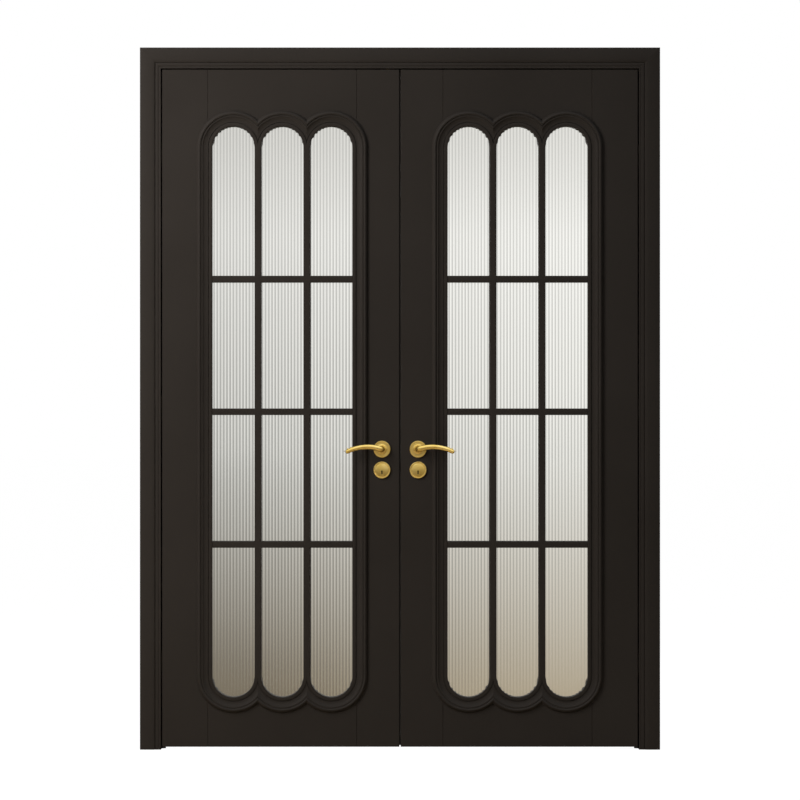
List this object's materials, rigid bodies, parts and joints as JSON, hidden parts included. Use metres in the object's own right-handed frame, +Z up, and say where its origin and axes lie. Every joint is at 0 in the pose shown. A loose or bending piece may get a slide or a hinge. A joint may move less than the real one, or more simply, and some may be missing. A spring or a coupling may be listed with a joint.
{
  "type": "french doors",
  "caption": "Pair of dark painted glazed doors with scalloped mouldings, fluted glass, brass levers and a cased frame.",
  "frame": {"origin": "on the floor, in the middle of the whole part's width and depth", "axes": "+X across the doorway to the viewer's right, +Y from the side the leaves open to into the room behind, +Z up"},
  "size_m": [1.612, 0.1861, 2.176],
  "materials": {
    "dark_paint": "satin dark brown-black paint",
    "fluted_glass": "fluted on one face",
    "satin_brass": "satin brushed",
    "steel": "satin",
    "seal_rubber": "matt"
  },
  "bodies": {
    "frame": {"left_jamb": "dark_paint", "right_jamb": "dark_paint", "head_jamb": "dark_paint", "front_casing_left": "dark_paint", "front_casing_right": "dark_paint", "front_casing_head": "dark_paint", "rear_casing_left": "dark_paint", "rear_casing_right": "dark_paint", "rear_casing_head": "dark_paint", "frame_seal": "seal_rubber", "left_frame_hinge_bodies": "steel", "right_frame_hinge_bodies": "steel", "top_bolt_keeper": "steel"},
    "left_leaf": {"left_hinge_stile": "dark_paint", "left_lock_stile": "dark_paint", "left_top_rail": "dark_paint", "left_bottom_rail": "dark_paint", "left_front_moulding": "dark_paint", "left_rear_moulding": "dark_paint", "left_front_glazing_bars": "dark_paint", "left_rear_glazing_bars": "dark_paint", "left_fluted_glass": "fluted_glass", "left_leaf_hinge_bodies": "steel", "left_roses": "satin_brass", "left_escutcheons": "satin_brass", "left_meeting_seal": "seal_rubber", "left_strike_plate": "steel", "left_bolt_gear_case": "steel"},
    "left_links": {"left_hinge_links": "steel"},
    "left_levers": {"left_front_lever": "satin_brass", "left_rear_lever": "satin_brass", "left_spindle": "steel"},
    "right_leaf": {"right_hinge_stile": "dark_paint", "right_lock_stile": "dark_paint", "right_top_rail": "dark_paint", "right_bottom_rail": "dark_paint", "right_front_moulding": "dark_paint", "right_rear_moulding": "dark_paint", "right_front_glazing_bars": "dark_paint", "right_rear_glazing_bars": "dark_paint", "right_fluted_glass": "fluted_glass", "right_leaf_hinge_bodies": "steel", "right_roses": "satin_brass", "right_escutcheons": "satin_brass", "right_lock_case": "steel", "right_lock_forend": "steel"},
    "right_links": {"right_hinge_links": "steel"},
    "right_levers": {"right_front_lever": "satin_brass", "right_rear_lever": "satin_brass", "right_spindle": "steel"},
    "left_top_rod": {"left_top_bolt": "steel"},
    "left_bottom_rod": {"left_bottom_bolt": "steel"},
    "right_latch": {"right_latch_bolt": "steel"},
    "right_deadbolt": {"right_dead_bolt": "steel"}
  },
  "joints": [
    {"name": "left_leaf_swing", "type": "hinge", "parent": "frame", "child": "left_leaf", "pos_m": [-0.73925, -0.047, 0], "axis": [0, 0, -1], "range_deg": [0, 90]},
    {"name": "left_link_swing", "type": "hinge", "parent": "frame", "child": "left_links", "pos_m": [-0.73925, -0.047, 0], "axis": [0, 0, -1], "range_deg": [0, 45]},
    {"name": "left_lever_turn", "type": "hinge", "parent": "left_leaf", "child": "left_levers", "pos_m": [-0.056, -0.047, 0.931], "axis": [0, 1, 0], "range_deg": [0, 45]},
    {"name": "right_leaf_swing", "type": "hinge", "parent": "frame", "child": "right_leaf", "pos_m": [0.73925, -0.047, 0], "axis": [0, 0, 1], "range_deg": [0, 90]},
    {"name": "right_link_swing", "type": "hinge", "parent": "frame", "child": "right_links", "pos_m": [0.73925, -0.047, 0], "axis": [0, 0, 1], "range_deg": [0, 45]},
    {"name": "right_lever_turn", "type": "hinge", "parent": "right_leaf", "child": "right_levers", "pos_m": [0.056, -0.047, 0.931], "axis": [0, 1, 0], "range_deg": [0, 45], "stiffness_Nm_per_rad": 1.2, "springref_deg": -28.65},
    {"name": "left_top_bolt_slide", "type": "slide", "parent": "left_leaf", "child": "left_top_rod", "axis": [0, 0, 1], "range_m": [0, 0.015]},
    {"name": "left_bottom_bolt_slide", "type": "slide", "parent": "left_leaf", "child": "left_bottom_rod", "axis": [0, 0, -1], "range_m": [0, 0.015]},
    {"name": "right_latch_slide", "type": "slide", "parent": "right_leaf", "child": "right_latch", "axis": [-1, 0, 0], "range_m": [0, 0.01], "stiffness_N_per_m": 60, "springref_m": -0.004},
    {"name": "right_dead_bolt_slide", "type": "slide", "parent": "right_leaf", "child": "right_deadbolt", "axis": [-1, 0, 0], "range_m": [0, 0.018]}
  ],
  "couplings": [
    {"joint": "left_link_swing", "follows": "left_leaf_swing", "ratio": 0.5},
    {"joint": "right_link_swing", "follows": "right_leaf_swing", "ratio": 0.5},
    {"joint": "left_top_bolt_slide", "follows": "left_lever_turn", "m_per_rad": 0.019099},
    {"joint": "left_bottom_bolt_slide", "follows": "left_lever_turn", "m_per_rad": 0.019099}
  ]
}
